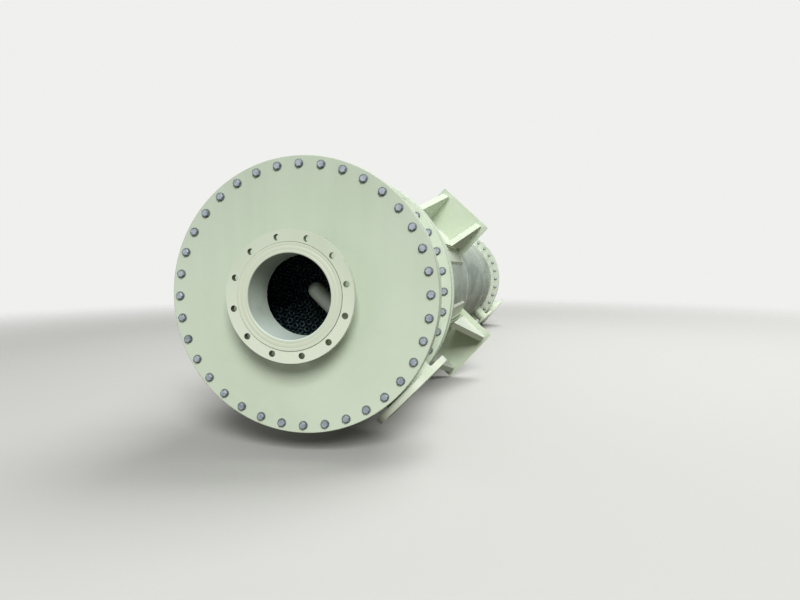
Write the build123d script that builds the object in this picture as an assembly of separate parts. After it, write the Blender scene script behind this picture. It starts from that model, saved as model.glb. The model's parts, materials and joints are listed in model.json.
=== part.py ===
import os
from dataclasses import dataclass
from math import atan2, cos, degrees, pi, radians, sin, sqrt

from build123d import *

os.makedirs("parts", exist_ok=True)

# A graphite falling film absorber lying on its side, in millimetres.
# It is drawn along its own axis first: z runs from the outer face of the top cover to the
# bottom outlet, and an angle counts clockwise from the top as seen from the cover.

# Body, its flat cover and the girth flanges that are bolted in pairs
body_bore = 800
wall = 8
girth_bolt_offset = 47
girth_rim = 28
girth_bolt_count = 36
girth_hole = 18
girth_bolt_turn = -0.6
girth_flange_thick = 32
girth_edge = 2
cover_thick = 30
gasket_thick = 3
gasket_width = 36
sheet_to_bolts = 13

# Lengths along the axis
chamber_length = 347
shell_length = 3958
bottom_length = 300

# Graphite tube sheets, and a hexagonal weir with a slotted crown at each tube's end
sheet_thick = 50
tube_pitch = 61
tube_rings = 6
tube_turn = -16
weir_across = 24
weir_bore = 17
weir_height = 28
weir_slot = 4
weir_slot_depth = 10

# Dished bottom head
head_lap = 24
crown_radius = 700
knuckle_radius = 70
head_edge = 2

# Support brackets
bracket_reach = 608
bracket_width = 340
bracket_plate = 16
bracket_place = 1680
gusset_thick = 30
gusset_spacing = 250
gusset_height = 540
gusset_toe = 70
gusset_edge = 23
pad_thick = 8
pad_margin = 30
pad_lead = 150
upper_bracket_angle = 43
lower_bracket_angle = 133

# Pipes and their flanges: the offset runs from the pipe to the bolt circle, the rim on from there
gas_pipe = 325
gas_wall = 8
gas_bolt_offset = 37.5
gas_rim = 22.5
gas_bolt_count = 12
gas_hole = 22
gas_flange_thick = 26
gas_bolt_turn = -2.9
side_pipe = 219
side_wall = 6
side_bolt_offset = 38
side_rim = 22.5
side_bolt_count = 8
side_hole = 22
side_flange_thick = 24
acid_pipe = 133
acid_wall = 5
acid_bolt_offset = 38.5
acid_rim = 20
acid_bolt_count = 8
acid_hole = 18
acid_flange_thick = 22
water_pipe = 89
water_wall = 5
water_bolt_offset = 35.5
water_rim = 20
water_bolt_count = 8
water_hole = 18
water_flange_thick = 20
raised_face_height = 3
raised_face_to_holes = 4

# Gas inlet on the cover, and its lining
gas_inlet_standoff = 125
liner_wall = 11
liner_inner_end = 42
liner_lap = 4
liner_lap_inset = 4

# Absorbent inlet on the chamber, and the feed pipe in it
side_inlet_gap = 5
side_inlet_angle = 135
feed_pipe = 63
feed_pipe_wall = 4
feed_pipe_past_axis = 45
feed_plate_thick = 4
feed_end_round = 28

# Cooling water nozzles, vent, tail gas outlet and acid outlet
water_standoff = 115
water_inlet_from_end = 344
water_outlet_from_start = 224
water_inlet_angle = 135
water_outlet_angle = 315
vent_angle = 0
tail_gas_gap = 30
tail_gas_neck_gap = 14.5
tail_gas_angle = 130
acid_outlet_standoff = 110


@dataclass
class NozzleSize:
    pipe: float
    wall: float
    bolt_offset: float
    rim: float
    bolt_count: int
    hole: float
    thick: float

    @property
    def bore(self):
        return self.pipe - 2 * self.wall

    @property
    def bolt_circle(self):
        return self.pipe + 2 * self.bolt_offset

    @property
    def flange(self):
        return self.bolt_circle + 2 * self.rim

    @property
    def raised_face(self):
        return self.bolt_circle - self.hole - 2 * raised_face_to_holes


gas = NozzleSize(
    gas_pipe, gas_wall, gas_bolt_offset, gas_rim, gas_bolt_count, gas_hole, gas_flange_thick
)
side = NozzleSize(
    side_pipe, side_wall, side_bolt_offset, side_rim, side_bolt_count, side_hole, side_flange_thick
)
acid = NozzleSize(
    acid_pipe, acid_wall, acid_bolt_offset, acid_rim, acid_bolt_count, acid_hole, acid_flange_thick
)
water = NozzleSize(
    water_pipe, water_wall, water_bolt_offset, water_rim, water_bolt_count, water_hole, water_flange_thick
)

# Places that follow from the sizes
body = body_bore + 2 * wall
girth_bolt_circle = body + 2 * girth_bolt_offset
girth_flange = girth_bolt_circle + 2 * girth_rim
sheet = girth_bolt_circle - 2 * sheet_to_bolts
chamber_start = cover_thick + gasket_thick
chamber_end = chamber_start + chamber_length
top_sheet_start = chamber_end + gasket_thick
shell_start = top_sheet_start + sheet_thick + gasket_thick
shell_end = shell_start + shell_length
bottom_sheet_start = shell_end + gasket_thick
bottom_start = bottom_sheet_start + sheet_thick + gasket_thick
bottom_end = bottom_start + bottom_length
side_inlet_place = chamber_start + chamber_length / 2
side_inlet_reach = girth_flange / 2 + side_inlet_gap + side.thick
water_reach = body / 2 + water_standoff
water_inlet_place = shell_end - water_inlet_from_end
water_outlet_place = shell_start + water_outlet_from_start
tail_gas_place = bottom_start + girth_flange_thick + tail_gas_neck_gap + side.pipe / 2
tail_gas_reach = girth_flange / 2 + tail_gas_gap + side.thick + raised_face_height

nodes = {}


def bolt_holes(circle, count, hole, turn=0):
    """The holes of a bolt circle, as a drawing."""
    return PolarLocations(circle / 2, count, start_angle=turn) * Circle(hole / 2)


def ring(outer, inner, start, length, holes=()):
    """A round ring or tube on the axis, with any bolt holes."""
    outline = Circle(outer / 2) - Circle(inner / 2) - list(holes)
    return Pos(0, 0, start) * extrude(outline, length)


def disc(outer, start, length):
    """A round plate on the axis."""
    return Pos(0, 0, start) * Cylinder(outer / 2, length, align=(Align.CENTER, Align.CENTER, Align.MIN))


def girth_ring(inner, start, length):
    """The cover or a girth flange, its outer edges lightly broken."""
    holes = bolt_holes(girth_bolt_circle, girth_bolt_count, girth_hole, girth_bolt_turn)
    solid = ring(girth_flange, inner, start, length, holes)
    rims = solid.edges().filter_by(GeomType.CIRCLE).sort_by(SortBy.RADIUS)[-2:]
    return chamfer(rims, girth_edge)


def facing(angle, place):
    """Where a side nozzle's own axis (its z) points, at an angle round the body."""
    return Pos(0, 0, place) * Rot(0, 0, angle - 90) * Rot(0, 90, 0)


def nozzle_flange(size, face, raised=raised_face_height, turn=0):
    """A pipe flange whose outer face is at a height along the nozzle's own axis."""
    holes = bolt_holes(size.bolt_circle, size.bolt_count, size.hole, 180 / size.bolt_count + turn)
    solid = ring(size.flange, size.pipe, face - raised - size.thick, size.thick, holes)
    if raised:
        solid += ring(size.raised_face, size.pipe, face - raised, raised)
    return solid


def side_nozzle(name, size, angle, place, reach, raised=raised_face_height):
    """A flanged neck standing on the body; it gives the hole that the wall needs."""
    here = facing(angle, place)
    neck = here * ring(size.pipe, size.bore, 0, reach)
    nodes[name + "_neck"] = neck - disc(body_bore, place - size.pipe, 2 * size.pipe)
    nodes[name + "_flange"] = here * nozzle_flange(size, reach, raised)
    return here * disc(size.pipe, 0, reach)


# Top cover with the gas inlet
nodes["top_cover"] = girth_ring(gas.pipe, 0, cover_thick)
lap_start = -gas_inlet_standoff
inlet_steel_face = lap_start + liner_lap
nodes["gas_inlet_neck"] = ring(gas.pipe, gas.bore, inlet_steel_face, cover_thick - inlet_steel_face)
nodes["gas_inlet_flange"] = Rot(180, 0, 0) * nozzle_flange(gas, -inlet_steel_face, 0, gas_bolt_turn)
liner_bore = gas.bore - 2 * liner_wall
liner_tube = ring(gas.bore, liner_bore, inlet_steel_face, liner_inner_end - inlet_steel_face)
liner_face = gas.raised_face - 2 * liner_lap_inset
nodes["gas_inlet_liner"] = liner_tube + ring(liner_face, liner_bore, lap_start, liner_lap)

# Top chamber with the absorbent inlet
gasket_inner = sheet - 2 * gasket_width
nodes["cover_gasket"] = ring(sheet, gasket_inner, cover_thick, gasket_thick)
nodes["chamber_top_flange"] = girth_ring(body, chamber_start, girth_flange_thick)
nodes["chamber_bottom_flange"] = girth_ring(body, chamber_end - girth_flange_thick, girth_flange_thick)
side_inlet_hole = side_nozzle(
    "absorbent_inlet", side, side_inlet_angle, side_inlet_place, side_inlet_reach, raised=0
)
nodes["chamber_shell"] = ring(body, body_bore, chamber_start, chamber_length) - side_inlet_hole

# Feed pipe: closed and rounded at its inner end, held by a plate on the absorbent inlet
feed_length = side_inlet_reach + feed_plate_thick + feed_pipe_past_axis
feed_bore = feed_pipe - 2 * feed_pipe_wall
pipe = disc(feed_pipe, -feed_pipe_past_axis, feed_length)
pipe = fillet(pipe.edges().sort_by(Axis.Z)[0], feed_end_round)
pipe += ring(side.raised_face, feed_pipe, side_inlet_reach, feed_plate_thick)
feed_bottom = -feed_pipe_past_axis + feed_end_round
pipe -= disc(feed_bore, feed_bottom, feed_length)
nodes["feed_pipe"] = facing(side_inlet_angle, side_inlet_place) * pipe

# Top tube sheet with the weir at each tube's end
nodes["top_sheet_gasket"] = ring(sheet, gasket_inner, chamber_end, gasket_thick)
nodes["top_tube_sheet"] = disc(sheet, top_sheet_start, sheet_thick)
nodes["shell_top_gasket"] = ring(sheet, gasket_inner, top_sheet_start + sheet_thick, gasket_thick)
hexagon = RegularPolygon(weir_across / sqrt(3), 6) - RegularPolygon(weir_bore / sqrt(3), 6)
weir = extrude(hexagon, weir_height)
weir -= Box(2 * weir_across, weir_slot, weir_slot_depth, align=(Align.CENTER, Align.CENTER, Align.MIN))
weirs = []
for row in range(-tube_rings, tube_rings + 1):
    count = 2 * tube_rings + 1 - abs(row)
    for column in range(count):
        x = (column - (count - 1) / 2) * tube_pitch
        y = row * tube_pitch * sqrt(3) / 2
        weirs.append(Rot(0, 0, tube_turn) * Pos(x, y, top_sheet_start - weir_height) * weir)
nodes["tube_weirs"] = Compound(weirs)

# Main shell with its cooling water nozzles
nodes["shell_top_flange"] = girth_ring(body, shell_start, girth_flange_thick)
nodes["shell_bottom_flange"] = girth_ring(body, shell_end - girth_flange_thick, girth_flange_thick)
water_in_hole = side_nozzle("water_inlet", water, water_inlet_angle, water_inlet_place, water_reach)
water_out_hole = side_nozzle("water_outlet", water, water_outlet_angle, water_outlet_place, water_reach)
nodes["main_shell"] = ring(body, body_bore, shell_start, shell_length) - water_in_hole - water_out_hole

# Bottom tube sheet
nodes["shell_bottom_gasket"] = ring(sheet, gasket_inner, shell_end, gasket_thick)
nodes["bottom_tube_sheet"] = disc(sheet, bottom_sheet_start, sheet_thick)
nodes["bottom_sheet_gasket"] = ring(sheet, gasket_inner, bottom_start - gasket_thick, gasket_thick)

# Bottom section with the tail gas outlet and, at the top of the same section, a vent
nodes["bottom_section_flange"] = girth_ring(body, bottom_start, girth_flange_thick)
tail_gas_hole = side_nozzle("tail_gas_outlet", side, tail_gas_angle, tail_gas_place, tail_gas_reach)
vent_hole = side_nozzle("vent", water, vent_angle, tail_gas_place, water_reach)
nodes["bottom_section_shell"] = ring(body, body_bore, bottom_start, bottom_length) - tail_gas_hole - vent_hole


def dish(radius, crown, knuckle, foot):
    """The solid under a dished surface: a skirt, a knuckle arc and a shallow crown arc."""
    rise = sqrt((crown - knuckle) ** 2 - (radius - knuckle) ** 2)
    slope = atan2(rise, radius - knuckle)
    half_slope = slope / 2
    crown_slope = (slope + pi / 2) / 2
    join = (crown * cos(slope), crown * sin(slope) - rise)
    knuckle_middle = (radius - knuckle + knuckle * cos(half_slope), knuckle * sin(half_slope))
    crown_middle = (crown * cos(crown_slope), crown * sin(crown_slope) - rise)
    top = (0, crown - rise)
    outline = Curve() + [
        Line((0, -foot), (radius, -foot)),
        Line((radius, -foot), (radius, 0)),
        ThreePointArc((radius, 0), knuckle_middle, join),
        ThreePointArc(join, crown_middle, top),
        Line(top, (0, -foot)),
    ]
    return revolve(Plane.XZ * make_face(outline), Axis.Z), crown - rise


# Dished head, whose skirt laps over the bottom section, with the acid outlet in its middle
head_radius = body / 2 + wall
head_outside, head_depth = dish(head_radius, crown_radius, knuckle_radius, head_lap)
head_outside = chamfer(head_outside.edges().sort_by(Axis.Z)[0], head_edge)
head_inside, _ = dish(head_radius - wall, crown_radius - wall, knuckle_radius - wall, head_lap)
head = Pos(0, 0, bottom_end) * (head_outside - head_inside)
acid_face = bottom_end + head_depth + acid_outlet_standoff
acid_neck_start = bottom_end + head_depth - wall
nodes["dished_head"] = head - disc(acid.pipe, bottom_end, acid_face - bottom_end)
nodes["acid_outlet_neck"] = ring(acid.pipe, acid.bore, acid_neck_start, acid_face - acid_neck_start)
nodes["acid_outlet_flange"] = nozzle_flange(acid, acid_face)

# Support brackets: a plate across the axis, two gussets on its cover side and a pad on the body
pad_outer = body + 2 * pad_thick
pad_start = bracket_place - gusset_height - pad_lead
pad_length = bracket_place + bracket_plate + pad_margin - pad_start
pad_block = Box(body, bracket_width + 2 * pad_margin, pad_length, align=(Align.MIN, Align.CENTER, Align.MIN))
pad = ring(pad_outer, body, pad_start, pad_length) & Pos(0, 0, pad_start) * pad_block
bracket_plate_solid = Pos(0, 0, bracket_place) * Box(
    bracket_reach, bracket_width, bracket_plate, align=(Align.MIN, Align.CENTER, Align.MIN)
) - disc(pad_outer, bracket_place, bracket_plate)
gusset_reach = bracket_reach - gusset_edge
gusset_outer_face = (gusset_spacing + gusset_thick) / 2
foot_radius = sqrt((pad_outer / 2) ** 2 - gusset_outer_face**2)
gusset_slope = (gusset_height - gusset_toe) / (gusset_reach - foot_radius)
slope_end = gusset_toe + gusset_reach * gusset_slope
gusset_outline = Polyline(
    (0, bracket_place),
    (gusset_reach, bracket_place),
    (gusset_reach, bracket_place - gusset_toe),
    (0, bracket_place - slope_end),
    close=True,
)
gusset = extrude(Plane.XZ * make_face(gusset_outline), gusset_thick / 2, both=True)
gusset -= disc(pad_outer, bracket_place - slope_end, slope_end)
gussets = [Pos(0, hand * gusset_spacing / 2, 0) * gusset for hand in (-1, 1)]
bracket_angles = (upper_bracket_angle, lower_bracket_angle, -lower_bracket_angle, -upper_bracket_angle)
for number, angle in enumerate(bracket_angles, start=1):
    turn = Rot(0, 0, angle - 90)
    nodes[f"bracket_plate_{number}"] = turn * bracket_plate_solid
    nodes[f"bracket_gussets_{number}"] = Compound([turn * rib for rib in gussets])
nodes["bracket_pads"] = Compound([Rot(0, 0, angle - 90) * pad for angle in bracket_angles])

# Lying on the floor: the two lower brackets' corners and the rim of the bottom girth flange touch it
below = radians(180 - lower_bracket_angle)
corner_drop = bracket_reach * cos(below) + bracket_width / 2 * sin(below)
rim_drop = girth_flange / 2
rest_span = bottom_start + girth_flange_thick - (bracket_place + bracket_plate)
lean = degrees(atan2(corner_drop - rim_drop, rest_span))
lying = Rot(-90 - lean, 0, 0)
laid = {name: lying * solid for name, solid in nodes.items()}
extent = Compound(list(laid.values())).bounding_box()
centre = extent.center()
to_floor = Pos(-centre.X, -centre.Y, -extent.min.Z)
for name, solid in laid.items():
    export_step(to_floor * solid, f"parts/{name}.step")
print("lean", round(lean, 3), "size", extent.size, "shift", to_floor.position)
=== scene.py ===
import json
import math
import random

import bpy
from mathutils import Matrix, Vector


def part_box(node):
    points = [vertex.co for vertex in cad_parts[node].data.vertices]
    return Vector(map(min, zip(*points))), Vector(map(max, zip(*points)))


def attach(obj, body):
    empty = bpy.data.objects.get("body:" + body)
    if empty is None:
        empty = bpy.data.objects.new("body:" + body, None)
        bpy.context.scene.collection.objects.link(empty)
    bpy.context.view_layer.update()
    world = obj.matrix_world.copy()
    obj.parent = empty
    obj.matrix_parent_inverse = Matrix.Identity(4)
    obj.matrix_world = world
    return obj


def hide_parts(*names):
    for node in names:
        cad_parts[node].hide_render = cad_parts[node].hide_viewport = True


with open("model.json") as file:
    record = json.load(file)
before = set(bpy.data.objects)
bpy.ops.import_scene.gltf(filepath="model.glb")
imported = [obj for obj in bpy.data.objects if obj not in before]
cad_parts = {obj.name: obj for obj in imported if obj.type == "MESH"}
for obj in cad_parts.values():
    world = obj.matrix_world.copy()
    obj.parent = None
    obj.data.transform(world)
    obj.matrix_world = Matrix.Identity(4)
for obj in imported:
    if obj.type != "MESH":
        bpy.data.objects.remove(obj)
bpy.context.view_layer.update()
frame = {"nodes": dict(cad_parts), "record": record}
random.seed(36)

# Where the vessel lies. Its own frame has its middle on the cover's face, y along its axis, z up.


def boxMiddle(node):
    low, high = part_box(node)
    return (Vector(low) + Vector(high)) / 2


axis = (boxMiddle("bottom_section_flange") - boxMiddle("top_cover")).normalized()
lean = math.atan2(-axis.z, axis.y)


def plateThickness(node):
    low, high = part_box(node)
    return ((high[1] - low[1]) - (high[0] - low[0]) * math.sin(lean)) / math.cos(lean)


coverFace = boxMiddle("top_cover") - axis * plateThickness("top_cover") / 2
vesselPlace = Matrix.Translation(coverFace) @ Matrix.Rotation(-lean, 4, "X")


def faces(node):  # near and far face of a round plate, along the axis
    along = (boxMiddle(node) - coverFace).dot(axis)
    half = plateThickness(node) / 2
    return along - half, along + half


def radiusOf(node):
    low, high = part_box(node)
    return (high[0] - low[0]) / 2


# Modelling helpers

sameWay = 0.9  # a face whose normal has this much of a direction looks that way


def editMode(on):
    bpy.ops.object.mode_set(mode="EDIT" if on else "OBJECT")


def clearSelection():
    if bpy.context.object and bpy.context.object.mode != "OBJECT":
        editMode(False)
    bpy.ops.object.select_all(action="DESELECT")


def pickOnly(*pieces):
    clearSelection()
    for piece in pieces:
        piece.select_set(True)
    bpy.context.view_layer.objects.active = pieces[0]


def added(name):  # the primitive that an operator has just made
    piece = bpy.context.object
    piece.name = name
    piece.data.name = name
    return piece


def selectFaces(piece, wanted):  # leaves the piece in edit mode
    editMode(True)
    bpy.ops.mesh.select_mode(type="FACE")
    bpy.ops.mesh.select_all(action="DESELECT")
    editMode(False)
    for face in piece.data.polygons:
        face.select = wanted(face)
    editMode(True)


def useModifier(piece, kind, **settings):
    pickOnly(piece)
    modifier = piece.modifiers.new(kind.title(), kind)
    for key, value in settings.items():
        setattr(modifier, key, value)
    bpy.ops.object.modifier_apply(modifier=modifier.name)


def copiesOf(pattern, places, name):  # each copy has its own mesh; they are joined to one piece
    copies = []
    for place in places:
        twin = pattern.copy()
        twin.data = pattern.data.copy()
        twin.data.transform(place)
        bpy.context.collection.objects.link(twin)
        copies.append(twin)
    bpy.data.objects.remove(pattern)
    return joined(copies, name)


def joined(pieces, name):
    pickOnly(*pieces)
    if len(pieces) > 1:
        bpy.ops.object.join()
    return added(name)


def settle(piece, finish, smooth=30):  # from the vessel's frame to its place on the floor
    pickOnly(piece)
    piece.matrix_world = vesselPlace @ piece.matrix_world
    bpy.ops.object.transform_apply(location=True, rotation=True, scale=True)
    editMode(True)
    bpy.ops.mesh.select_all(action="SELECT")
    bpy.ops.mesh.normals_make_consistent(inside=False)
    editMode(False)
    bpy.ops.object.shade_smooth_by_angle(angle=math.radians(smooth))
    piece.data.materials.clear()
    piece.data.materials.append(finish)
    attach(piece, "root")
    return piece


# Materials: a Wire is a socket on which sums can be written


class Wire:
    def __init__(self, tree, socket):
        self.tree = tree
        self.socket = socket

    def __add__(self, other):
        return self.tree.maths("ADD", self, other)

    def __radd__(self, other):
        return self.tree.maths("ADD", other, self)

    def __sub__(self, other):
        return self.tree.maths("SUBTRACT", self, other)

    def __rsub__(self, other):
        return self.tree.maths("SUBTRACT", other, self)

    def __mul__(self, other):
        return self.tree.maths("MULTIPLY", self, other)

    def __rmul__(self, other):
        return self.tree.maths("MULTIPLY", other, self)


class NodeTree:  # of a material or of the world
    def __init__(self, tree):
        self.tree = tree

    def node(self, kind, settings=None, values=None, take=0):
        made = self.tree.nodes.new(kind)
        for key, value in (settings or {}).items():
            setattr(made, key, value)
        for key, value in (values or {}).items():
            self.join(value, made.inputs[key])
        return Wire(self, made.outputs[take])

    def join(self, value, socket):
        if isinstance(value, Wire):
            self.tree.links.new(value.socket, socket)
        elif socket.type == "RGBA" and len(value) == 3:
            socket.default_value = (*value, 1)
        else:
            socket.default_value = value

    def maths(self, operation, *values):
        return self.node("ShaderNodeMath", {"operation": operation}, dict(enumerate(values)))


class Finish(NodeTree):
    def __init__(self, name):
        self.material = bpy.data.materials.new(name)
        self.material.use_nodes = True
        super().__init__(self.material.node_tree)
        self.shader = self.tree.nodes["Principled BSDF"]
        self.coords = self.node("ShaderNodeTexCoord", take="Object")
        # the same point in the vessel's own frame
        back = vesselPlace.inverted()
        values = {"Vector": self.coords, "Location": back.to_translation(), "Rotation": back.to_euler()}
        self.here = self.node("ShaderNodeMapping", {"vector_type": "POINT"}, values)

    def split(self, vector=None):
        made = self.node("ShaderNodeSeparateXYZ", None, {0: vector or self.here})
        return [Wire(self, output) for output in made.socket.node.outputs]

    def fromAxis(self):  # distance from the vessel's axis
        x, _, z = self.split()
        return self.maths("SQRT", x * x + z * z)

    def facing(self):
        return self.split(self.node("ShaderNodeNewGeometry", take="Normal"))

    def upward(self, low=0.25, high=0.8):  # 1 where a face looks up
        return self.ramp(self.facing()[2], low, high)

    def ramp(self, factor, low, high):  # 0 below low, 1 above high
        values = {"Value": factor, "From Min": low, "From Max": high}
        return self.node("ShaderNodeMapRange", {"interpolation_type": "SMOOTHSTEP"}, values)

    def noise(self, scale=1, detail=3, rough=0.5, distort=0, stretch=None, shift=(0, 0, 0)):
        values = {"Vector": self.here, "Scale": scale, "Detail": detail, "Roughness": rough}
        if stretch:
            place = {"Vector": self.here, "Scale": stretch, "Location": shift}
            values["Vector"] = self.node("ShaderNodeMapping", {"vector_type": "POINT"}, place)
        return self.node("ShaderNodeTexNoise", None, {**values, "Distortion": distort})

    def spots(self, low, high, **noise):  # noise that shows between two levels
        return self.ramp(self.noise(**noise), low, high)

    def mix(self, factor, first, second):
        values = {0: factor, 6: first, 7: second}  # sockets 6 and 7 are the colours A and B
        return self.node("ShaderNodeMix", {"data_type": "RGBA"}, values, take=2)

    def bump(self, height, depth):
        return self.node("ShaderNodeBump", None, {"Height": height, "Distance": depth})

    def surface(self, **sources):
        for key, value in sources.items():
            self.join(value, self.shader.inputs[key.replace("_", " ")])
        return self.material


def srgb(red, green, blue):  # the colour of a paint as a picture shows it, 0 to 255
    def linear(part):
        return ((part / 255 + 0.055) / 1.055) ** 2.4 if part > 10 else part / 3294
    return linear(red), linear(green), linear(blue)


sage = {
    "gloss": 0.45,
    "rough": 0.42,
    "rougher": {"fine": 0.12, "scratch": 0.1, "cloud": -0.05},
    "cloud": {"scale": 1.7, "detail": 4, "low": 0.38, "high": 0.66},
    "fine": {"scale": 14, "detail": 5, "rough": 0.6, "low": 0.45, "high": 0.75},
    "grime": {"scale": 5, "detail": 6, "rough": 0.7, "distort": 0.6, "low": 0.6, "high": 0.8},
    "scratch": {"scale": 9, "detail": 2, "rough": 0.4, "stretch": (30, 1, 2), "low": 0.72, "high": 0.78},
    "streaks": {"rough": 0.6, "stretch": (14, 2, 1.5)},
    "peel": {"scale": 420, "detail": 2},
    "bump": 0.00012,
    "bumpFine": 0.6,  # beside the peel
    "dusty": 0.35,
    "grimy": 0.22,
    "dustAndTopLight": srgb(222, 227, 217),  # dust on what faces up, and painted top light that makes those faces paler
    "lying": (0.55, 0.3),  # share of it, everywhere and more in spots
    "slope": (0.12, 0.3),  # leaning this much towards the cover's end, a face gets less dust and painted top light
    "shadeAboveShare": (0.6, 0.5),  # share of the painted shade towards the top, everywhere and more in streaks
    "holeEdge": 0.001,
    "holeWall": (0.3, 0.6),  # how far a face may look along the axis and still be a hole's wall
    # share of the painted shade in the bolt holes
    "holeShadeShare": 0.9,
}
coverCoat = {"tone": srgb(210, 223, 202), "deep": srgb(201, 214, 191), "dust": srgb(215, 222, 207)}
coats = {
    "bodyPaint": {"tone": srgb(199, 212, 188), "deep": srgb(190, 203, 177), "dust": srgb(206, 213, 196)},
    "flangePaint": coverCoat,
    # painted shade: the cover is greyer towards its upper rim
    "coverPaint": {**coverCoat, "shadedAbove": {"from": -0.45, "to": 0.5, "tone": srgb(182, 195, 174)}},  # heights
    "nozzlePaint": {"tone": srgb(207, 216, 197), "deep": srgb(199, 209, 187), "dust": srgb(212, 219, 206)},
    "inletPaint": {
        "tone": srgb(223, 231, 213),
        "deep": srgb(215, 224, 204),
        "dust": srgb(226, 232, 218),
        # painted shade: the inlet flange is greyer towards its upper rim
        "shadedAbove": {"from": -0.2, "to": 0.16, "tone": srgb(195, 205, 184)},
        # painted shade on the walls of the bolt holes
        "shadedHoles": {"from": 0.187, "to": 0.2135, "holeShadeTone": srgb(66, 68, 50)},  # radii of the ring of holes
    },
    "headPaint": {"tone": srgb(222, 228, 203), "deep": srgb(213, 220, 192), "dust": srgb(228, 233, 214)},
}


def sagePaint(name, coat):
    paint = Finish(name)
    cloud, fine = paint.spots(**sage["cloud"]), paint.spots(**sage["fine"])
    grime, scratch = paint.spots(**sage["grime"]), paint.spots(**sage["scratch"])
    colour = paint.mix(cloud, coat["tone"], coat["deep"])
    colour = paint.mix(fine * sage["dusty"], colour, coat["dust"])
    colour = paint.mix(grime * sage["grimy"], colour, coat["deep"])
    # dust, and painted top light: faces that look up are made paler
    level = 1 - paint.ramp(0 - paint.facing()[1], *sage["slope"])
    share, more = sage["lying"]
    colour = paint.mix(paint.upward() * level * (share + more * fine), colour, sage["dustAndTopLight"])
    if "shadedAbove" in coat:  # painted shade: greyer towards the upper rim
        shadedAbove, (share, more) = coat["shadedAbove"], sage["shadeAboveShare"]
        height = paint.ramp(paint.split()[2], shadedAbove["from"], shadedAbove["to"])
        streaks = paint.noise(**sage["streaks"])
        colour = paint.mix(height * (share + more * streaks), colour, shadedAbove["tone"])
    if "shadedHoles" in coat:  # painted shade on the walls of the bolt holes
        shadedHoles, edge = coat["shadedHoles"], sage["holeEdge"]
        radius = paint.fromAxis()
        circle = paint.ramp(radius, shadedHoles["from"], shadedHoles["from"] + edge)
        circle = circle * (1 - paint.ramp(radius, shadedHoles["to"] - edge, shadedHoles["to"]))
        wall = 1 - paint.ramp(paint.maths("ABSOLUTE", paint.facing()[1]), *sage["holeWall"])
        colour = paint.mix(circle * wall * sage["holeShadeShare"], colour, shadedHoles["holeShadeTone"])
    rougher = sage["rougher"]
    rough = sage["rough"] + rougher["fine"] * fine + rougher["scratch"] * scratch + rougher["cloud"] * cloud
    peel = paint.noise(**sage["peel"]) + sage["bumpFine"] * fine
    return paint.surface(
        Base_Color=colour, Roughness=rough, Specular_IOR_Level=sage["gloss"],
        Normal=paint.bump(peel, sage["bump"]))


paints = {name: sagePaint(name, coat) for name, coat in coats.items()}

primer = {
    "gloss": 0.4,
    "rough": 0.4,
    "rougher": {"blotches": 0.15, "strokes": -0.08},
    "bump": 0.0003,
    "bumpLengthwise": 0.4,  # beside the strokes
    "grey": srgb(182, 194, 181),
    "dark": srgb(114, 134, 127),
    "green": srgb(184, 193, 170),
    "warm": srgb(174, 180, 162),
    "dust": srgb(202, 210, 197),
    "lying": (0.2, 0.3),  # share of the dust and painted top light on faces that look up, everywhere and more in strokes
    "layers": {  # over the grey, in this order
        "sprayed": {"tone": "green", "share": 0.6, "levels": (0.5, 0.68), "noise": {"scale": 1.3}},
        "bands": {
            "tone": "warm", "share": 0.5, "levels": (0.4, 0.62),
            "noise": {"stretch": (2.4, 6, 2.4), "detail": 4, "rough": 0.6}},
        "blotches": {
            "tone": "dark", "share": 0.35, "levels": (0.44, 0.66),
            "noise": {"stretch": (9, 2.4, 9), "detail": 5, "rough": 0.62}},
        "patches": {
            "tone": "dark", "share": 0.5, "levels": (0.46, 0.6),
            "noise": {
                "stretch": (5, 1.1, 5), "shift": (3.1, 2.9, 0),
                "detail": 4, "rough": 0.6, "distort": 0.5}},
        "strokes": {
            "tone": "dark", "share": 0.14, "levels": (0.4, 0.72),
            "noise": {"stretch": (9, 120, 9), "rough": 0.55}},
        "lengthwise": {
            "tone": "dark", "share": 0.2, "levels": (0.5, 0.75),
            "noise": {"stretch": (60, 6, 60), "detail": 2}},
        "smears": {
            "tone": "dust", "share": 0.3, "levels": (0.56, 0.7),
            "noise": {"stretch": (13, 3, 13), "detail": 5, "rough": 0.7, "distort": 0.8}},
    },
}


def brushedPrimer():
    coat = Finish("shellPaint")
    colour, noise, shown = primer["grey"], {}, {}
    for name, layer in primer["layers"].items():
        noise[name] = coat.noise(**layer["noise"])
        shown[name] = coat.ramp(noise[name], *layer["levels"])
        colour = coat.mix(shown[name] * layer["share"], colour, primer[layer["tone"]])
    share, more = primer["lying"]
    # dust, and painted top light: faces that look up are made paler
    colour = coat.mix(coat.upward() * (share + more * noise["strokes"]), colour, primer["dust"])
    rougher = primer["rougher"]
    rough = primer["rough"] + rougher["blotches"] * shown["blotches"] + rougher["strokes"] * noise["strokes"]
    marks = noise["strokes"] + primer["bumpLengthwise"] * noise["lengthwise"]
    return coat.surface(
        Base_Color=colour, Roughness=rough, Specular_IOR_Level=primer["gloss"],
        Normal=coat.bump(marks, primer["bump"]))


shellPaint = brushedPrimer()

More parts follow.
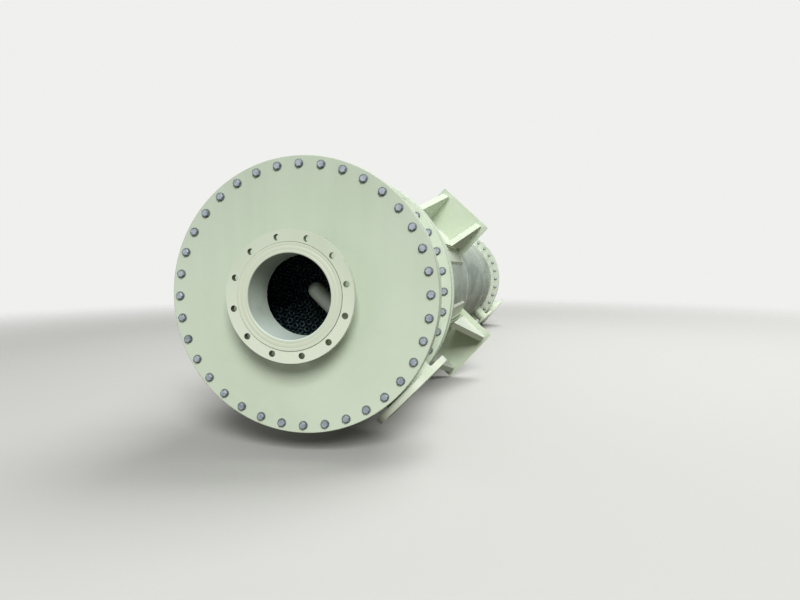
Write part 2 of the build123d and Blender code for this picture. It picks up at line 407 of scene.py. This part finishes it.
lining = {
    "gloss": 0.5,
    "rough": 0.34,
    "rougher": 0.12,  # in clouds
    "bump": 0.00008,
    "bumpCloud": 0.4,  # beside the grooves
    "cloud": {"scale": 7, "detail": 4, "rough": 0.6},
    "patchy": (0.4, 0.7),
    "lap": srgb(206, 214, 193),
    "lapDeep": srgb(194, 203, 181),
    "bore": srgb(195, 205, 193),
    "boreDeep": srgb(178, 187, 173),
    "boreShade": srgb(124, 132, 120),
    "boreLitBelow": srgb(224, 240, 230),
    "cutEnd": srgb(226, 232, 236),
    "shadeFrom": (-0.04, 0.12),  # heights
    "shaded": 0.6,
    "litBelowHeights": (-0.13, -0.04),
    "cutDeep": (0.004, 0.002),  # before the end of the bore
    "cut": 0.8,
    "ridges": 2100,  # of the turned lap, radians per metre
    "ridgeLevels": (0.6, 1.6),
    "ridged": 0.25,
    "lapRadius": 0.147,
    "lapEdge": 0.002,
    "boreRadius": 0.1435,
    "neckWall": 0.008,
}


def turnedLining():
    turned = Finish("liner")
    _, y, z = turned.split()
    radius = turned.fromAxis()
    onLap = turned.ramp(radius, lining["lapRadius"] - lining["lapEdge"], lining["lapRadius"])
    grooves = turned.maths("SINE", radius * lining["ridges"]) * onLap
    cloud = turned.noise(**lining["cloud"])
    bore = turned.mix(turned.ramp(cloud, *lining["patchy"]), lining["bore"], lining["boreDeep"])
    # painted shade on the upper bore, and painted light that makes its lower part paler
    shade = turned.ramp(z, *lining["shadeFrom"]) * lining["shaded"]
    bore = turned.mix(shade, bore, lining["boreShade"])
    bore = turned.mix(1 - turned.ramp(z, *lining["litBelowHeights"]), bore, lining["boreLitBelow"])
    far = faces("gas_inlet_liner")[1]
    end = turned.ramp(y, *[far - deep for deep in lining["cutDeep"]])
    bore = turned.mix(end * lining["cut"], bore, lining["cutEnd"])
    ridges = turned.ramp(grooves + cloud, *lining["ridgeLevels"]) * lining["ridged"]
    lap = turned.mix(ridges, lining["lap"], lining["lapDeep"])
    return turned.surface(
        Base_Color=turned.mix(onLap, bore, lap), Roughness=lining["rough"] + lining["rougher"] * cloud,
        Specular_IOR_Level=lining["gloss"],
        Normal=turned.bump(grooves + lining["bumpCloud"] * cloud, lining["bump"]))


liner = turnedLining()

pipeLook = {
    "gloss": 0.5,
    "rough": 0.4,
    "rougher": 0.15,  # in clouds
    "bump": 0.0004,
    "cloud": {"scale": 16, "detail": 4, "rough": 0.6},
    "patchy": (0.4, 0.7),
    "marks": {"scale": 38, "low": 0.68, "high": 0.74},
    "pale": srgb(206, 213, 200),
    "deep": srgb(190, 198, 184),
    "mark": srgb(70, 78, 72),
    "marked": 0.6,
}


def pipePlastic():
    plastic = Finish("feedPipe")
    cloud = plastic.noise(**pipeLook["cloud"])
    colour = plastic.mix(plastic.ramp(cloud, *pipeLook["patchy"]), pipeLook["pale"], pipeLook["deep"])
    marks = plastic.spots(**pipeLook["marks"])
    colour = plastic.mix(marks * pipeLook["marked"], colour, pipeLook["mark"])
    return plastic.surface(
        Base_Color=colour, Roughness=pipeLook["rough"] + pipeLook["rougher"] * cloud,
        Specular_IOR_Level=pipeLook["gloss"], Normal=plastic.bump(cloud, pipeLook["bump"]))


feedPipe = pipePlastic()

carbon = {
    "gloss": 0.6,
    "rough": 0.3,
    "rougher": 0.2,  # in fine spots
    "bump": 0.0003,
    "cloud": {"scale": 20, "detail": 4, "rough": 0.6},
    "patchy": (0.35, 0.7),
    "fine": {"scale": 260, "rough": 0.6},
    "deep": srgb(16, 24, 28),
    "pale": srgb(26, 37, 41),
    "damp": srgb(6, 38, 50),
    "dampWithin": (0.39, 0.4),  # radii, up to the gasket
    "dampShare": 0.8,
    "tip": srgb(96, 126, 126),  # painted highlight: tube ends paler at the tip
    "tipHeight": (0.014, 0.027),
    "highlightSpots": {"scale": 48, "detail": 2, "low": 0.42, "high": 0.6},
    "highlightShare": (0.08, 0.75),  # share of the painted highlight, everywhere and more in spots
}


def darkGraphite():
    block = Finish("graphite")
    cloud, fine = block.noise(**carbon["cloud"]), block.noise(**carbon["fine"])
    colour = block.mix(block.ramp(cloud, *carbon["patchy"]), carbon["deep"], carbon["pale"])
    inside = 1 - block.ramp(block.fromAxis(), *carbon["dampWithin"])
    colour = block.mix(inside * carbon["dampShare"], colour, carbon["damp"])
    # painted highlight on the tips of the tube ends
    crown = block.ramp(faces("top_tube_sheet")[0] - block.split()[1], *carbon["tipHeight"])
    share, more = carbon["highlightShare"]
    colour = block.mix(crown * (share + more * block.spots(**carbon["highlightSpots"])), colour, carbon["tip"])
    return block.surface(
        Base_Color=colour, Roughness=carbon["rough"] + carbon["rougher"] * fine,
        Specular_IOR_Level=carbon["gloss"], Normal=block.bump(fine, carbon["bump"]))


graphite = darkGraphite()

sealing = {
    "rough": 0.75,
    "rougher": 0.1,  # in fine spots
    "bump": 0.0002,
    "fine": {"scale": 300, "rough": 0.6},
    "deep": srgb(44, 46, 46),
    "pale": srgb(62, 64, 62),
}


def softGasket():
    rubber = Finish("gasket")
    fine = rubber.noise(**sealing["fine"])
    return rubber.surface(
        Base_Color=rubber.mix(fine, sealing["deep"], sealing["pale"]),
        Roughness=sealing["rough"] + sealing["rougher"] * fine, Normal=rubber.bump(fine, sealing["bump"]))


gasket = softGasket()

plating = {
    "gloss": 0.5,
    "rough": 0.36,
    "rougher": 0.2,  # in clouds
    "metalMore": 0.1,
    "bump": 0.0002,
    "cloud": {"scale": 60, "detail": 4, "rough": 0.6},
    "patchy": (0.35, 0.7),
    "fine": {"scale": 700, "detail": 2},
    "zinc": {"pale": srgb(178, 188, 200), "deep": srgb(146, 156, 168), "metal": 0.3},
    "shadedZinc": {"pale": srgb(134, 142, 142), "deep": srgb(102, 110, 112), "metal": 0.3},
    "paleZinc": {"pale": srgb(210, 216, 196), "deep": srgb(182, 190, 170), "metal": 0.1},
}


def zincPlate(name):
    look, plate = plating[name], Finish(name)
    cloud, fine = plate.noise(**plating["cloud"]), plate.noise(**plating["fine"])
    return plate.surface(
        Base_Color=plate.mix(plate.ramp(cloud, *plating["patchy"]), look["pale"], look["deep"]),
        Metallic=look["metal"] + plating["metalMore"] * cloud,
        Roughness=plating["rough"] + plating["rougher"] * cloud,
        Specular_IOR_Level=plating["gloss"], Normal=plate.bump(fine, plating["bump"]))


zinc, shadedZinc, paleZinc = zincPlate("zinc"), zincPlate("shadedZinc"), zincPlate("paleZinc")
print("finishes made")

slotFinishes = {
    "body_paint": paints["bodyPaint"],
    "nozzle_paint": paints["nozzlePaint"],
    "shell_paint": shellPaint,
    "liner": liner,
    "feed_pipe": feedPipe,
    "graphite": graphite,
    "gasket": gasket,
}
nodeFinishes = {  # nodes that differ from their slot
    "top_cover": paints["coverPaint"],
    "gas_inlet_flange": paints["inletPaint"],
    "chamber_top_flange": paints["flangePaint"],
    "chamber_bottom_flange": paints["flangePaint"],
    "shell_top_flange": paints["flangePaint"],
    "shell_bottom_flange": paints["nozzlePaint"],
    "bottom_section_shell": paints["headPaint"],
    "dished_head": paints["headPaint"],
}
for part in frame["record"]["subparts"]:
    node = frame["nodes"][part["node"]]
    finish = nodeFinishes.get(part["node"], slotFinishes[part["material_slot"]])
    node.data.materials.clear()
    node.data.materials.append(finish)
print("steel painted")


# Girth bolts: a hexagonal head and a nut, each on a round washer

bolt = {
    "count": 36,
    "circle": 0.455,  # radius
    "turn": -0.6,  # degrees
    "shank": 0.008,  # radius
    "shankSides": 12,
    "shankBevel": 0.001,
    "across": 0.024,  # flats
    "head": 0.010,
    "nut": 0.013,
    "washer": 0.0155,  # radius
    "washerThick": 0.003,
    "washerSides": 24,
    "washerBevel": 0.0005,
    "spare": 0.008,  # thread past the nut
    "chamfer": 0.0026,
    "chamferDrop": 0.55,  # of the chamfer's width
    "capFacing": 0.95,  # faces that look along the axis get the caps' finish; the others get a darker one as painted shade
    "smooth": 20,
}


def roundBlock(name, radius, near, far, sides, bevel=0):
    bpy.ops.mesh.primitive_cylinder_add(
        vertices=sides, radius=radius, depth=far - near,
        location=(0, (near + far) / 2, 0), rotation=(math.pi / 2, 0, 0))
    block = added(name)
    bpy.ops.object.transform_apply(location=True, rotation=True, scale=True)
    if bevel:
        selectFaces(block, lambda face: abs(face.normal.y) > sameWay)
        bpy.ops.mesh.bevel(offset=bevel, segments=1)
        editMode(False)
    return block


def hexagonBlock(name, near, far, capSide):
    corner = bolt["across"] / math.sqrt(3)
    block = roundBlock(name, corner, near, far, 6)
    selectFaces(block, lambda face: face.normal.y * capSide > sameWay)
    bpy.ops.mesh.inset(thickness=bolt["chamfer"])
    editMode(False)
    middle = (near + far) / 2
    for point in block.data.vertices:  # the cap's own corners stay, the rim drops
        onRim = math.isclose(math.hypot(point.co.x, point.co.z), corner, abs_tol=1e-5)
        if onRim and (point.co.y - middle) * capSide > 0:
            point.co.y -= capSide * bolt["chamfer"] * bolt["chamferDrop"]
    return block


def boltSet(name, nearPlate, farPlate, headSide, cap, shadedSides):
    near = faces(nearPlate)[0]
    grip = faces(farPlate)[1] - near
    thick = bolt["washerThick"]
    nutTop = grip + thick + bolt["nut"]
    head = hexagonBlock("head", -thick - bolt["head"], -thick, -1)
    nut = hexagonBlock("nut", grip + thick, nutTop, 1)
    tip = nutTop + bolt["spare"]
    shank = roundBlock("shank", bolt["shank"], -thick, tip, bolt["shankSides"], bolt["shankBevel"])
    one = joined([head, nut, shank], "oneBolt")
    if headSide > 0:  # the other way round: nuts on the near side
        one.data.transform(Matrix.Translation((0, grip, 0)) @ Matrix.Rotation(math.pi, 4, "X"))
    washers = []
    for place in (-thick, grip):
        washers.append(roundBlock(
            "washer", bolt["washer"], place, place + thick, bolt["washerSides"], bolt["washerBevel"]))
    pair = joined(washers, "onePair")
    places = []
    for number in range(bolt["count"]):
        turn = Matrix.Rotation(math.tau * number / bolt["count"] + math.radians(bolt["turn"]), 4, "Y")
        spin = Matrix.Rotation(random.uniform(0, math.tau / 6), 4, "Y")
        places.append(turn @ Matrix.Translation((0, near, bolt["circle"])) @ spin)
    bolts = settle(copiesOf(one, places, name + "Bolts"), cap, bolt["smooth"])
    # painted shade: the sides of heads and nuts, and the washers, get the darker finish
    bolts.data.materials.append(shadedSides)
    for face in bolts.data.polygons:
        face.material_index = int(abs(face.normal.dot(axis)) < bolt["capFacing"])
    settle(copiesOf(pair, places, name + "Washers"), shadedSides)


def addBolts():  # the record has no slot for zinc, so they name none
    # the second, darker finish of each set is painted shade on the bolts' sides and washers
    boltSet("cover", "top_cover", "chamber_top_flange", -1, zinc, shadedZinc)
    boltSet("topSheet", "chamber_bottom_flange", "shell_top_flange", -1, zinc, shadedZinc)
    boltSet("bottomSheet", "shell_bottom_flange", "bottom_section_flange", 1, paleZinc, zinc)


# Tube ends on the top tube sheet: short slotted tubes in a hexagonal lattice

tubeEnd = {
    "outer": 0.012,  # radius
    "inner": 0.0085,
    "height": 0.028,
    "slot": 0.010,
    "pitch": 0.0305,
    "field": 0.375,  # radius of the tube field
    "turn": 15.7,  # degrees
    "shift": (0.0253, 0.0218),  # of the lattice, sideways and up
    "sides": 12,
}


def slottedTube():
    sides, height = tubeEnd["sides"], tubeEnd["height"]
    foot = faces("top_tube_sheet")[0]
    bpy.ops.mesh.primitive_cylinder_add(
        vertices=sides, radius=tubeEnd["outer"], depth=height, end_fill_type="NOTHING",
        location=(0, foot - height / 2, 0), rotation=(math.pi / 2, 0, 0))
    tube = added("oneTube")
    bpy.ops.object.transform_apply(location=True, rotation=True, scale=True)
    editMode(True)
    bpy.ops.mesh.select_all(action="SELECT")
    slotFoot = foot - height + tubeEnd["slot"]
    bpy.ops.mesh.bisect(plane_co=(0, slotFoot, 0), plane_no=(0, 1, 0))
    editMode(False)
    crown = [face for face in tube.data.polygons if face.center.y < slotFoot]
    around = sorted(crown, key=lambda face: math.atan2(face.center.x, face.center.z))
    slots = {around[place].index for place in (0, sides // 2)}
    selectFaces(tube, lambda face: face.index in slots)
    bpy.ops.mesh.delete(type="FACE")
    editMode(False)
    useModifier(tube, "SOLIDIFY", thickness=tubeEnd["outer"] - tubeEnd["inner"], offset=-1)
    return tube


def addTubeEnds():
    tube = slottedTube()
    pitch = tubeEnd["pitch"]
    reach = int(tubeEnd["field"] / pitch) + 2
    lattice = Matrix.Rotation(math.radians(-tubeEnd["turn"]), 4, "Y")
    lattice.translation = (tubeEnd["shift"][0], 0, tubeEnd["shift"][1])
    places = []
    for row in range(-reach, reach + 1):
        for column in range(-reach, reach + 1):
            there = Vector(((column + row / 2) * pitch, 0, row * pitch * math.sqrt(3) / 2))
            if (lattice @ there).length < tubeEnd["field"]:
                spin = Matrix.Rotation(random.choice((0, 1, 2)) * math.pi / 3, 4, "Y")
                places.append(lattice @ Matrix.Translation(there) @ spin)
    print("tube ends", len(places))
    field = settle(copiesOf(tube, places, "tubeEnds"), graphite)
    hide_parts("tube_weirs")


# Lining of the gas inlet, turned from one profile: bore, rounded lip, grooved lap, back

lip = {
    "round": 0.003,
    "roundSteps": 4,
    "edge": 0.0012,
    "grooves": (0.1552, 0.1695),  # radii
    "grooveWide": 0.0008,
    "grooveDeep": 0.0003,
    "turns": 160,
    "merge": 0.00005,
    "smooth": 40,
    "seam": 0.0013,  # a dark bead between the lap and the steel: painted shadow of the gap, and dirt
    "seamStep": 0.006,
}


def linerProfile():  # points along the axis and out from it
    lapFace, back = faces("gas_inlet_liner")
    steelFace = faces("gas_inlet_flange")[0]
    bore, lapEdge = lining["boreRadius"], radiusOf("gas_inlet_liner")
    tube = radiusOf("gas_inlet_neck") - lining["neckWall"]
    points = [(back, bore)]
    for step in range(lip["roundSteps"] + 1):
        turn = math.pi / 2 * step / lip["roundSteps"]
        rise, out = 1 - math.sin(turn), 1 - math.cos(turn)
        points.append((lapFace + lip["round"] * rise, bore + lip["round"] * out))
    for groove in lip["grooves"]:
        points.append((lapFace, groove - lip["grooveWide"]))
        points.append((lapFace + lip["grooveDeep"], groove))
        points.append((lapFace, groove + lip["grooveWide"]))
    points += [(lapFace, lapEdge - lip["edge"]), (lapFace + lip["edge"], lapEdge)]
    return points + [(steelFace, lapEdge), (steelFace, tube), (back, tube)]


def addLiner():
    points = linerProfile()
    bpy.ops.mesh.primitive_circle_add(vertices=len(points), radius=1)
    ring = added("linerTurned")
    for vertex, (y, radius) in zip(ring.data.vertices, points):
        vertex.co = (radius, y, 0)
    editMode(True)
    bpy.ops.mesh.select_all(action="SELECT")
    bpy.ops.mesh.spin(steps=lip["turns"], angle=math.tau, center=(0, 0, 0), axis=(0, 1, 0))
    bpy.ops.mesh.select_all(action="SELECT")
    bpy.ops.mesh.remove_doubles(threshold=lip["merge"])
    editMode(False)
    settle(ring, liner, lip["smooth"])
    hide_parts("gas_inlet_liner")
    # a dark ring where the lap meets the steel: painted shadow of the gap there, and dirt
    edge = circlePoints(faces("gas_inlet_flange")[0], radiusOf("gas_inlet_liner"), lip["seamStep"])
    settle(beadAlong("lapShadowAndDirtLine", edge, lip["seam"]), gasket)


# Weld beads where necks, flanges, shells and brackets meet

weld = {
    "bead": 0.0055,
    "small": 0.004,
    "seam": 0.0025,  # nearly flush
    "seams": (1.45, 2.95),  # rings round the shell, from its near end
    "seamTurns": (240, 272),  # the lengthwise seams, plate by plate
    "step": 0.02,
    "longStep": 0.06,
    "leastPoints": 24,  # of a ring
    "roundness": 2,
    "smooth": 60,
}


def beadAlong(name, points, bead, closed=True):
    bpy.ops.mesh.primitive_circle_add(vertices=len(points), radius=1)
    path = added(name)
    for vertex, point in zip(path.data.vertices, points):
        vertex.co = point
    if not closed:
        last = len(points) - 1
        editMode(True)
        bpy.ops.mesh.select_mode(type="EDGE")
        bpy.ops.mesh.select_all(action="DESELECT")
        editMode(False)
        for edge in path.data.edges:
            edge.select = set(edge.vertices) == {0, last}
        editMode(True)
        bpy.ops.mesh.delete(type="EDGE")
        editMode(False)
    bpy.ops.object.convert(target="CURVE")
    path.data.bevel_depth = bead
    path.data.bevel_resolution = weld["roundness"]
    path.data.use_fill_caps = not closed
    bpy.ops.object.convert(target="MESH")
    return bpy.context.object


def circlePoints(y, radius, step=weld["step"]):
    count = max(weld["leastPoints"], int(math.tau * radius / step))
    turns = [math.tau * number / count for number in range(count)]
    return [Vector((radius * math.sin(turn), y, radius * math.cos(turn))) for turn in turns]


def linePoints(start, end):
    count = max(2, round((end - start).length / weld["longStep"]) + 1)
    return [start.lerp(end, number / (count - 1)) for number in range(count)]


def nozzleFrame(flange):  # foot on the axis, direction and reach of a side nozzle's flange
    there = vesselPlace.inverted() @ boxMiddle(flange)
    out = Vector((there.x, 0, there.z)).normalized()
    return Vector((0, there.y, 0)), out, math.hypot(there.x, there.z)


def pipeRing(foot, out, pipe, rise):  # round a side nozzle's pipe, at a height that may vary across it
    side = Vector((0, 1, 0)).cross(out)
    count = int(math.tau * pipe / weld["step"])
    points = []
    for number in range(count):
        turn = math.tau * number / count
        across = pipe * math.sin(turn)
        points.append(foot + side * across + Vector((0, pipe * math.cos(turn), 0)) + out * rise(across))
    return points


sideNozzles = {  # radius of the pipe, and from the flange's middle to its back
    "absorbent_inlet": {"pipe": 0.1095, "back": 0.012},
    "tail_gas_outlet": {"pipe": 0.1095, "back": 0.0135},
    "vent": {"pipe": 0.0445, "back": 0.0115},
    "water_inlet": {"pipe": 0.0445, "back": 0.0115},
    "water_outlet": {"pipe": 0.0445, "back": 0.0115},
}

bracket = {
    "angles": (43, 133, -133, -43),
    "place": 1.68,  # of the plate's near face, along the axis
    "plate": 0.016,
    "halfWidth": 0.17,
    "gussets": (-0.14, -0.11, 0.11, 0.14),  # both faces of each
    "gussetHeight": 0.54,
    "gussetToe": 0.07,
    "gussetReach": 0.585,
    "padRadius": 0.416,
    "padMargin": 0.03,
    "padLead": 0.15,
    "steps": 16,  # of a bead that goes across the shell's curve
    "bead": 0.004,
}


def acrossFrom(half):
    steps = bracket["steps"]
    return [half * (2 * number / steps - 1) for number in range(steps + 1)]


def bracketBeads(angle, shell):
    turn = math.radians(angle)
    out = Vector((math.sin(turn), 0, math.cos(turn)))
    side = Vector((math.cos(turn), 0, -math.sin(turn)))

    def on(radius, across, y):
        return out * math.sqrt(radius ** 2 - across ** 2) + side * across + Vector((0, y, 0))

    place, pad, wide = bracket["place"], bracket["padRadius"], bracket["halfWidth"]
    lines = [[on(pad, across, y) for across in acrossFrom(wide)] for y in (place, place + bracket["plate"])]
    foot, toe, reach = bracket["gussetHeight"], bracket["gussetToe"], bracket["gussetReach"]
    slope = (foot - toe) / (reach - math.sqrt(pad ** 2 - bracket["gussets"][-1] ** 2))
    for across in bracket["gussets"]:
        corner = on(pad, across, place)
        tip = out * reach + side * across + Vector((0, place, 0))
        start = place - toe - slope * (reach - math.sqrt(pad ** 2 - across ** 2))
        lines.append(linePoints(on(pad, across, start), corner))
        lines.append(linePoints(corner, tip))
    beads = [beadAlong("bead", line, bracket["bead"], closed=False) for line in lines]
    padWide = wide + bracket["padMargin"]
    near, far = place - foot - bracket["padLead"], place + bracket["plate"] + bracket["padMargin"]
    outline = [on(shell, across, near) for across in acrossFrom(padWide)]
    outline += linePoints(on(shell, padWide, near), on(shell, padWide, far))[1:-1]
    outline += [on(shell, across, far) for across in reversed(acrossFrom(padWide))]
    outline += linePoints(on(shell, -padWide, far), on(shell, -padWide, near))[1:-1]
    beads.append(beadAlong("bead", outline, bracket["bead"]))
    return beads


def addWelds():
    shell = radiusOf("main_shell")
    gasPipe = radiusOf("gas_inlet_neck")
    acidPipe = radiusOf("acid_outlet_neck")
    circles = [
        (faces("top_cover")[0], gasPipe),
        (faces("gas_inlet_flange")[1], gasPipe),
        (faces("chamber_top_flange")[1], shell),
        (faces("chamber_bottom_flange")[0], shell),
        (faces("shell_top_flange")[1], shell),
        (faces("shell_bottom_flange")[0], shell),
        (faces("bottom_section_flange")[1], shell),
        (faces("dished_head")[0], shell),
        (faces("acid_outlet_flange")[0], acidPipe),
    ]
    beads = [beadAlong("bead", circlePoints(y, radius), weld["bead"]) for y, radius in circles]
    for name, nozzle in sideNozzles.items():
        foot, out, reach = nozzleFrame(name + "_flange")
        pipe = nozzle["pipe"]
        saddle = pipeRing(foot, out, pipe, lambda across: math.sqrt(shell ** 2 - across ** 2))
        beads.append(beadAlong("bead", saddle, weld["bead"]))
        collar = pipeRing(foot, out, pipe, lambda across: reach - nozzle["back"])
        beads.append(beadAlong("bead", collar, weld["small"]))
    for angle in bracket["angles"]:
        beads += bracketBeads(angle, shell)
    settle(joined(beads, "weldBeads"), paints["bodyPaint"], weld["smooth"])
    addShellSeams(shell)


def addShellSeams(shell):
    near, far = faces("main_shell")
    rings = [near + along for along in weld["seams"]]
    seams = [beadAlong("seam", circlePoints(y, shell), weld["seam"]) for y in rings]
    starts = [near + weld["bead"]] + rings
    ends = rings + [far - weld["bead"]]
    for number, (start, end) in enumerate(zip(starts, ends)):  # lengthwise, staggered from plate to plate
        turn = math.radians(weld["seamTurns"][number % 2])
        foot = Vector((shell * math.sin(turn), 0, shell * math.cos(turn)))
        line = linePoints(foot + Vector((0, start, 0)), foot + Vector((0, end, 0)))
        seams.append(beadAlong("seam", line, weld["seam"], closed=False))
    settle(joined(seams, "shellSeams"), shellPaint, weld["smooth"])


# Stage, light and camera

stage = {
    "floor": srgb(208, 208, 204),
    "bounce": srgb(108, 104, 92),  # what the floor throws back at the object
    "backdrop": srgb(240, 240, 238),
    "cloud": {"scale": 0.8},
    "cloudTone": 0.97,
    "gloss": 0.2,
    "rough": 0.7,
    "rougher": 0.1,  # in clouds
    "size": 60,
    "fade": (2.9, 7.0),  # distances at which it passes into the backdrop
}


def addFloor():
    clearSelection()
    bpy.ops.mesh.primitive_plane_add(size=stage["size"], location=(0, 0, 0))
    floor = added("floor")
    paint = Finish("floorPaint")
    cloud = paint.noise(**stage["cloud"])
    colour = paint.mix(cloud, stage["floor"], [part * stage["cloudTone"] for part in stage["floor"]])
    seen = paint.node("ShaderNodeLightPath", take="Is Camera Ray")
    colour = paint.mix(seen, stage["bounce"], colour)
    away = paint.node("ShaderNodeVectorMath", {"operation": "LENGTH"}, {0: paint.coords}, take="Value")
    paint.surface(
        Base_Color=colour, Roughness=stage["rough"] + stage["rougher"] * cloud,
        Specular_IOR_Level=stage["gloss"], Alpha=1 - paint.ramp(away, *stage["fade"]))
    floor.data.materials.append(paint.material)


light = {
    "sky": 0.2,
    "key": {"place": (5.5, -18.2, 10.4), "aim": (0, -1.5, 0.6), "size": 6.9, "power": 3420},
    "top": {"place": (2.8, 1.2, 7.0), "aim": (0, 0.4, 0.5), "size": 5.0, "power": 490},
    "fill": {"place": (-3.0, -8.0, 0.9), "aim": (0, -2.5, 0.5), "size": 3.0, "power": 28},
}


def addLamp(name):
    place, aim = Vector(light[name]["place"]), Vector(light[name]["aim"])
    lamp = bpy.data.lights.new(name, "AREA")
    lamp.size = light[name]["size"]
    lamp.energy = light[name]["power"]
    holder = bpy.data.objects.new(name, lamp)
    holder.location = place
    holder.rotation_euler = (aim - place).to_track_quat("-Z", "Y").to_euler()
    bpy.context.collection.objects.link(holder)


def addSky():  # dim white light, and the backdrop where the camera looks
    world = bpy.data.worlds.new("studio")
    bpy.context.scene.world = world
    world.use_nodes = True
    sky = NodeTree(world.node_tree)
    glow = sky.tree.nodes["Background"]
    sky.join((1, 1, 1), glow.inputs["Color"])
    sky.join(light["sky"], glow.inputs["Strength"])
    backdrop = sky.node("ShaderNodeBackground", None, {"Color": stage["backdrop"], "Strength": 1})
    direct = sky.node("ShaderNodeLightPath", take="Is Camera Ray")
    throughGlass = sky.node("ShaderNodeLightPath", take="Is Transmission Ray")
    seen = sky.maths("MAXIMUM", direct, throughGlass)
    both = sky.node("ShaderNodeMixShader", None, {0: seen, 1: Wire(sky, glow.outputs[0]), 2: backdrop})
    sky.join(both, sky.tree.nodes["World Output"].inputs["Surface"])


camera = {  # in the vessel's own frame, metres
    "place": (0.7776, -2.2295, 0.0887),
    "look": (-0.1887, 0.9810, -0.0450),
    "lens": 30.3,
    "sensor": 36,
}


def addCamera():
    eye = bpy.data.objects.new("camera", bpy.data.cameras.new("camera"))
    bpy.context.collection.objects.link(eye)
    eye.data.sensor_width = camera["sensor"]
    eye.data.lens = camera["lens"]
    turn = Vector(camera["look"]).to_track_quat("-Z", "Y").to_matrix().to_4x4()
    eye.matrix_world = vesselPlace @ Matrix.Translation(camera["place"]) @ turn
    bpy.context.scene.camera = eye
    bpy.context.scene.view_settings.view_transform = "Standard"


addBolts()
print("bolts in")
addTubeEnds()
addLiner()
print("lining in")
addWelds()
print("welds in")
addFloor()
for name in ("key", "top", "fill"):
    addLamp(name)
addSky()
addCamera()
print("stage set")
